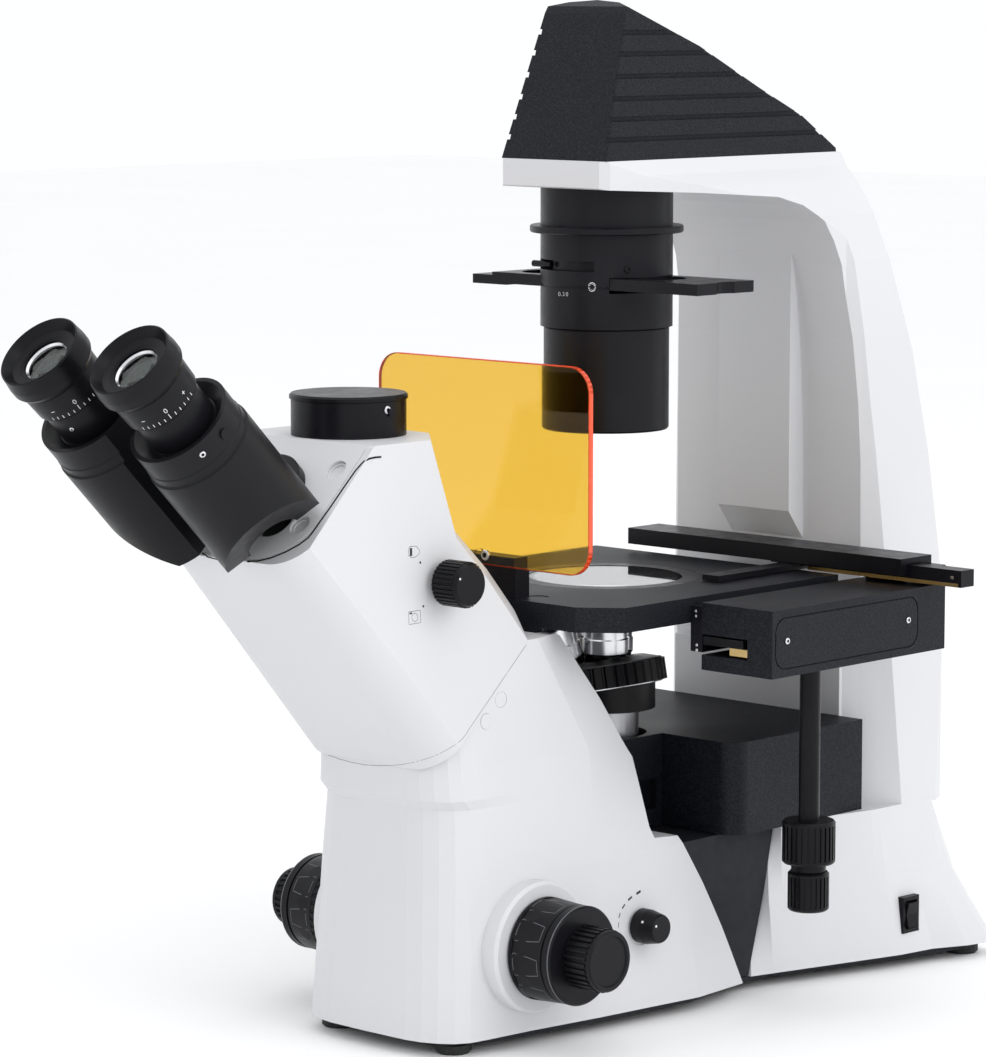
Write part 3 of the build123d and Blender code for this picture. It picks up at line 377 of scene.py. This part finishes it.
def around(node, base, axis, ang, h, r=60.0):
    """Surface point met from outside, at an angle round an axis and a height along it (mm, degrees)."""
    e1 = Vector((1, 0, 0)) if abs(axis.x) < 0.9 else Vector((0, 1, 0))
    e2 = axis.cross(e1)
    out = e1 * cos(radians(ang)) + e2 * sin(radians(ang))
    return cast([node], (base + axis * h + out * r) * MM, -out)


def sweep(bm, pts, nrm, prof, closed=False):
    n = len(pts)
    m = len(prof)
    rings = []
    for i in range(n):
        a = pts[i - 1] if (i > 0 or closed) else pts[0]
        b = pts[(i + 1) % n] if (i < n - 1 or closed) else pts[-1]
        t = (b - a).normalized()
        side = t.cross(nrm[i]).normalized()
        out = side.cross(t).normalized()
        rings.append([bm.verts.new(pts[i] + side * (u * MM) + out * (v * MM)) for u, v in prof])
    for i in range(n if closed else n - 1):
        r0, r1 = rings[i], rings[(i + 1) % n]
        for j in range(m):
            bm.faces.new((r0[j], r0[(j + 1) % m], r1[(j + 1) % m], r1[j]))
    if not closed:
        bm.faces.new(rings[0][::-1])
        bm.faces.new(rings[-1])


def lathe(bm, base, axis, prof, n=48, closed=False):
    """Turned solid; the profile is (radius, height) in mm, from axis to axis or a closed ring."""
    axis = axis.normalized()
    e1 = axis.orthogonal().normalized()
    e2 = axis.cross(e1)
    rings = []
    for r, h in prof:
        if r < 1e-6:
            rings.append([bm.verts.new(base + axis * (h * MM))])
        else:
            rings.append([bm.verts.new(base + axis * (h * MM) + (e1 * cos(2 * pi * k / n) + e2 * sin(2 * pi * k / n)) * (r * MM)) for k in range(n)])
    pairs = list(zip(rings, rings[1:])) + ([(rings[-1], rings[0])] if closed else [])
    for a, b in pairs:
        for k in range(n):
            k2 = (k + 1) % n
            if len(a) == 1 and len(b) == 1:
                break
            if len(a) == 1:
                bm.faces.new((a[0], b[k], b[k2]))
            elif len(b) == 1:
                bm.faces.new((a[k], a[k2], b[0]))
            else:
                bm.faces.new((a[k], a[k2], b[k2], b[k]))


def make(name, bm, mat, body, angle=40):
    if not bm.verts:
        bm.free()
        print("EMPTY", name)
        return None
    bmesh.ops.recalc_face_normals(bm, faces=bm.faces[:])
    me = bpy.data.meshes.new(name)
    bm.to_mesh(me)
    bm.free()
    o = bpy.data.objects.new(name, me)
    bpy.context.scene.collection.objects.link(o)
    assign(o, MAT[mat])
    smooth_obj(o, angle)
    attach(o, body)
    return o


def strip_profile(w, rise, depth=0.3):
    e = min(0.12, w / 4)
    return [(-w / 2, -depth), (w / 2, -depth), (w / 2, rise * 0.5), (w / 2 - e, rise), (-w / 2 + e, rise), (-w / 2, rise * 0.5)]


def stroke(bm, hits, w, rise=0.06, closed=False):
    pts, nrm = [], []
    for h in hits:
        if h is None:
            continue
        if pts and (h[0] - pts[-1]).length < 2e-5:
            continue
        if pts and (h[0] - pts[-1]).length > 0.02:
            continue
        pts.append(h[0])
        nrm.append(h[1])
    if len(pts) < 2:
        return
    sm = [(nrm[max(0, i - 1)] + nrm[i] + nrm[min(len(nrm) - 1, i + 1)]).normalized() for i in range(len(nrm))]
    sweep(bm, pts, sm, strip_profile(w, rise), closed)


def dense(pts, step=4.0):
    out = [pts[0]]
    for (x0, y0), (x1, y1) in zip(pts, pts[1:]):
        k = max(1, int(hypot(x1 - x0, y1 - y0) / step))
        out += [(x0 + (x1 - x0) * i / k, y0 + (y1 - y0) * i / k) for i in range(1, k + 1)]
    return out


def drawn(bm, nodes, pts, w, rise=0.06, step=4.0):
    stroke(bm, [seen(nodes, x, y) for x, y in dense(pts, step)], w, rise)


def ellipse(cx, cy, rx, ry, n=20):
    return [(cx + rx * cos(2 * pi * i / n), cy + ry * sin(2 * pi * i / n)) for i in range(n + 1)]


def spot(bm, hit, r, rise=0.06, depth=0.3, n=28):
    if hit:
        lathe(bm, hit[0], hit[1], [(0, -depth), (r, -depth), (r, rise * 0.6), (r * 0.9, rise), (0, rise)], n)


def screw(name, hit, r, body, mat="silver"):
    """Small head with a round socket; silver heads get a disc of painted shade in the socket."""
    if not hit:
        print("EMPTY", name)
        return
    h = min(1.2, 0.45 * r)
    bm = bmesh.new()
    lathe(bm, hit[0], hit[1], [(0, -0.5), (r, -0.5), (r, h * 0.7), (r * 0.86, h), (r * 0.5, h), (r * 0.46, h * 0.15), (0, h * 0.15)], 32)
    make(name, bm, mat, body)
    if r >= 1.2 and mat == "silver":
        # painted shade: dark disc in the socket of a silver head
        bm = bmesh.new()
        lathe(bm, hit[0], hit[1], [(0, h * 0.1), (r * 0.45, h * 0.1), (r * 0.45, h * 0.22), (r * 0.3, h * 0.26), (0, h * 0.26)], 24)
        make(name + "_socket", bm, "seam", body)


HEAD = ["head_shell", "prism_housing", "front_shell"]
# painted shade: dark strip laid along the gap round the eyepiece base plate on the head
bm = bmesh.new()
drawn(bm, HEAD, [(381, 456.9), (375, 457.4), (368.8, 458.8), (364, 461.6), (361.3, 464.2), (355, 471.5), (342.5, 489.5), (330, 508), (320, 522), (313, 532), (308.5, 537.7), (299.5, 544.6), (285.5, 552.2), (270.5, 558.2), (257.5, 561.2), (247.5, 561.4)], 0.9, 0.30)
drawn(bm, HEAD, [(217.5, 559.4), (207.5, 556.8), (202.3, 553.2)], 0.8, 0.25)
make("plate_gap_shade", bm, "seam", "stand")
# painted shadow along the joint line between the leaning head and the front housing
bm = bmesh.new()
drawn(bm, HEAD, [(328.5, 755), (340, 759.2), (353, 762.7), (365, 764.8), (376.7, 765.6), (388, 765.6), (400, 764.7), (413, 762.4), (426.7, 758.7), (437, 754.8), (446.7, 750), (455, 744.8), (461.7, 739.6), (465.5, 735), (469, 729.4), (479, 714.5), (490, 698.3), (503, 679), (515, 661.4), (526, 645)], 0.32, 0.05)
make("head_joint_line", bm, "seam_soft", "stand")
# icons beside the light-path knob: eyepiece view and camera view, with their index dots
bm = bmesh.new()
drawn(bm, HEAD, [(410.4, 546.4), (416.2, 546.2), (419.6, 550), (419.2, 553.6), (415.6, 557), (410.8, 557.6), (408.6, 555), (408.2, 551), (409, 547.8), (410.4, 546.4)], 0.22, 0.05, 2)
drawn(bm, HEAD, [(410.9, 548), (411, 556)], 1.7, 0.06, 2)
drawn(bm, HEAD, [(408.6, 612), (420.4, 610.2), (420.8, 622.6), (409, 624.6), (408.6, 612)], 0.22, 0.05, 2)
drawn(bm, HEAD, ellipse(414.8, 617.4, 3.0, 4.0), 0.22, 0.05, 1.5)
drawn(bm, HEAD, [(409.6, 613.6), (412.0, 613.2)], 0.9, 0.06, 2)
spot(bm, seen(HEAD, 420.3, 562.5), 0.62)
spot(bm, seen(HEAD, 423.3, 606.3), 0.62)
make("selector_icons", bm, "print", "stand")
# growing dashes round the brightness knob
bm = bmesh.new()
arc = [(618.5, 925), (619.5, 915.5), (623.5, 906.5), (630, 898.5), (638.5, 892.5)]
for i, (x, y) in enumerate(arc):
    x0, y0 = arc[max(0, i - 1)]
    x1, y1 = arc[min(len(arc) - 1, i + 1)]
    q = hypot(x1 - x0, y1 - y0)
    ux, uy = (x1 - x0) / q, (y1 - y0) / q
    drawn(bm, ["front_shell"], [(x - ux * 2.6, y - uy * 2.6), (x, y), (x + ux * 2.6, y + uy * 2.6)], 0.35 + 0.24 * i, 0.06, 3)
make("brightness_scale", bm, "print", "stand")
# little mark on the brightness knob
bm = bmesh.new()
spot(bm, around("brightness_knob", Vector((0, -47.5, 51.5)), Vector((1, 0, 0)), 152, 76.0), 0.7)
spot(bm, cast(["brightness_knob"], Vector((0.15, -0.0475 - 0.0042, 0.0515 + 0.0022)), Vector((-1, 0, 0))), 0.7)
make("brightness_mark", bm, "print_light", "brightness")
# index dot on the light-path knob
bm = bmesh.new()
spot(bm, cast(["light_path_knob"], Vector((0.15, -0.1803 - 0.0078, 0.2446 + 0.0040)), Vector((-1, 0, 0))), 0.6)
make("selector_dot", bm, "print_light", "path_knob")

screw("port_clamp_screw", seen(["photo_port"], 387, 410), 2.0, "stand")
screw("shield_screw", seen(["shield", "shield_bracket"], 486, 555), 2.8, "stand")
screw("right_collar_screw", seen(["right_housing", "right_eyepiece"], 202.5, 454.2), 1.6, "right_ocular")
screw("left_neck_mark", seen(["left_housing", "left_eyepiece"], 72, 429), 1.2, "left_ocular")
screw("cover_screw_front", seen(["y_carriage"], 787, 641), 1.7, "carriage")
screw("cover_screw_rear", seen(["y_carriage"], 908, 620), 1.7, "carriage")
for i, (x, y) in enumerate(((696, 611), (696, 616), (697, 645), (697, 650))):
    screw("guide_screw_%d" % i, seen(["y_carriage", "x_guide_bar", "y_guide"], x, y), 0.8, "carriage")
bm = bmesh.new()
spot(bm, seen(["x_rail"], 952, 578), 1.1, 0.04)
make("rail_end_screw", bm, "silver", "x_slide")
screw("condenser_set_screw", seen(["condenser_lower", "condenser_upper"], 628, 269), 2.1, "stand", "black_satin")

# condenser: small hole filled with painted shade, iris scale and number
COND = ["condenser_upper", "condenser_lower"]
bm = bmesh.new()
spot(bm, seen(COND, 562.7, 201), 1.3, 0.05)
make("condenser_hole_shade", bm, "seam", "stand")
bm = bmesh.new()
drawn(bm, COND, ellipse(592, 287, 3.6, 4.4), 0.28, 0.05, 1.5)
for i in range(6):
    a = 2 * pi * i / 6
    drawn(bm, COND, [(592 + 3.6 * cos(a), 287 + 4.4 * sin(a)), (592 + 2.4 * cos(a + 0.9), 287 + 2.9 * sin(a + 0.9))], 0.2, 0.05, 1.5)
drawn(bm, COND, ellipse(559.4, 294, 0.9, 1.8, 12), 0.2, 0.05, 1)
spot(bm, seen(COND, 561.6, 295.6), 0.18)
drawn(bm, COND, [(562.8, 292.4), (564.2, 292.4), (563.4, 293.8), (564.4, 294.6), (564.0, 295.6), (562.8, 295.7)], 0.2, 0.05, 1)
drawn(bm, COND, ellipse(567.0, 294.2, 0.9, 1.8, 12), 0.2, 0.05, 1)
make("condenser_print", bm, "print_light", "stand")
bm = bmesh.new()
for x in (541, 549, 557, 565, 573, 581):
    drawn(bm, ["field_diaphragm_ring"], [(x, 222.8), (x, 227.2)], 0.32, 0.05, 1.5)
make("field_ring_scale", bm, "print_light", "field_ring")

# painted glow on the cut edge of the coloured shield
bm = bmesh.new()
pts, nrm = [], []
for cx, cz, a0 in ((66, 334, 0), (-56.5, 334, 90), (-56.5, 254.5, 180), (66, 254.5, 270)):
    for i in range(9):
        a = radians(a0 + 90 * i / 8)
        n_ = Vector((cos(a), 0, sin(a)))
        pts.append(Vector((cx, -99.9, cz)) * MM + n_ * (13.5 * MM))
        nrm.append(n_)
sweep(bm, pts, nrm, [(-1.5, -0.5), (1.5, -0.5), (1.5, -0.1), (1.2, 0.03), (-1.2, 0.03), (-1.5, -0.1)], True)
make("shield_edge_glow", bm, "painted_edge_glow", "stand")

# focus knobs: painted highlights along the edges of the nine grips and along the rim line
AX = Vector((1, 0, 0))
for side, x0, x1 in (("right", 67.2, 95.0), ("left", -75.6, -100.0)):
    s_ = 1 if x0 > 0 else -1
    bm = bmesh.new()
    for i in range(9):
        a = 40 * i + 28
        path = [(a - 13, x0 + s_ * 3.5), (a - 6, x0 + s_ * 3.5), (a, x0 + s_ * 3.5), (a + 6, x0 + s_ * 3.5), (a + 13, x0 + s_ * 3.5), (a + 11, x1 - s_ * 14), (a + 9, x1 - s_ * 8.5),
                (a + 4, x1 - s_ * 8.5), (a - 4, x1 - s_ * 8.5), (a - 9, x1 - s_ * 8.5), (a - 11, x1 - s_ * 14), (a - 13, x0 + s_ * 3.5)]
        stroke(bm, [around("coarse_knobs", Vector((0, -122, 51.6)), AX, ang, h) for ang, h in path], 0.36, 0.10)
    make(side + "_grip_edge_highlights", bm, "painted_edge_highlight", "coarse")
    bm = bmesh.new()
    xr = x1 - s_ * 1.2
    lathe(bm, Vector((0, -122, 51.6)) * MM, AX, [(25.3, xr - 0.35), (25.62, xr - 0.3), (25.62, xr + 0.3), (25.3, xr + 0.35)], 96, True)
    make(side + "_coarse_rim_highlight", bm, "painted_edge_highlight", "coarse")

# painted highlight on the chamfer of the nosepiece ring, and the ring's silver band
T_AX = Vector((-0.190809, 0, 0.981627))
bm = bmesh.new()
lathe(bm, Vector((0, 0, 0.073)), T_AX, [(44.5, 101.72), (45.3, 101.2), (45.55, 101.3), (44.7, 101.9)], 120, True)
make("nosepiece_chamfer_highlight", bm, "painted_edge_highlight", "turret_body")
bm = bmesh.new()
lathe(bm, Vector((0, 0, 0.073)), T_AX, [(43.8, 88.85), (44.2, 88.85), (44.2, 89.35), (43.8, 89.35)], 120, True)
make("nosepiece_band", bm, "silver", "turret_body")

# dioptre scales and the bright rings round the eye lenses
for side, sx in (("right", 1), ("left", -1)):
    ring = NODES[side + "_diopter_ring"]
    hs = [(ring.matrix_world @ v.co).dot(D_AX) / MM for v in ring.data.vertices]
    h0, h1 = min(hs), max(hs)
    base = Vector((32 * sx, -1.5 * K, -1.5 * K))
    bm = bmesh.new()
    for k_ in range(-5, 6):
        a = -34 + 9 * k_
        ln = 3.0 if k_ == 0 else 1.8
        stroke(bm, [around(side + "_diopter_ring", base, D_AX, a, h0 + 1.2 + ln * j / 3) for j in range(4)], 0.32, 0.06)
    stroke(bm, [around(side + "_diopter_ring", base, D_AX, -34 + 1.9 * cos(2 * pi * j / 14), h0 + 6.6 + 1.2 * sin(2 * pi * j / 14)) for j in range(15)], 0.3, 0.06)
    for a, plus in ((-70, False), (2, True)):
        stroke(bm, [around(side + "_diopter_ring", base, D_AX, a - 2.6 + 1.3 * j, h0 + 6.6) for j in range(5)], 0.34, 0.06)
        if plus:
            stroke(bm, [around(side + "_diopter_ring", base, D_AX, a, h0 + 5.6 + 0.5 * j) for j in range(5)], 0.34, 0.07)
    make(side + "_diopter_scale", bm, "print_light", side + "_diopter")
    lens = NODES[side + "_eye_lens"]
    hl = max((lens.matrix_world @ v.co).dot(D_AX) / MM for v in lens.data.vertices)
    bm = bmesh.new()
    lathe(bm, base * MM, D_AX, [(10.6, hl - 2.0), (12.4, hl - 2.0), (12.4, hl - 0.5), (11.6, hl - 0.1), (10.6, hl - 1.0)], 72, True)
    make(side + "_lens_ring", bm, "silver", side + "_diopter")

# ------------------------------------------------------------- floor
floor_mesh = bpy.data.meshes.new("floor")
S = 8.0
floor_mesh.from_pydata([(-S, -S, 0), (S, -S, 0), (S, S, 0), (-S, S, 0)], [], [(0, 1, 2, 3)])
floor = bpy.data.objects.new("floor", floor_mesh)
bpy.context.scene.collection.objects.link(floor)
fm, fnt, fb = new_mat("pale_floor")
fv = coords(fnt)
fn = noise(fnt, 3, 2, 0.5, fv)
fnt.links.new(ramp2(fnt, fn.outputs["Fac"], 0.3, (0.955, 0.955, 0.955), 0.7, (0.97, 0.97, 0.97)), fb.inputs["Base Color"])
fb.inputs["Roughness"].default_value = 0.9
floor_mesh.materials.append(fm)
bpy.context.scene.view_settings.view_transform = "Standard"

bpy.context.view_layer.update()
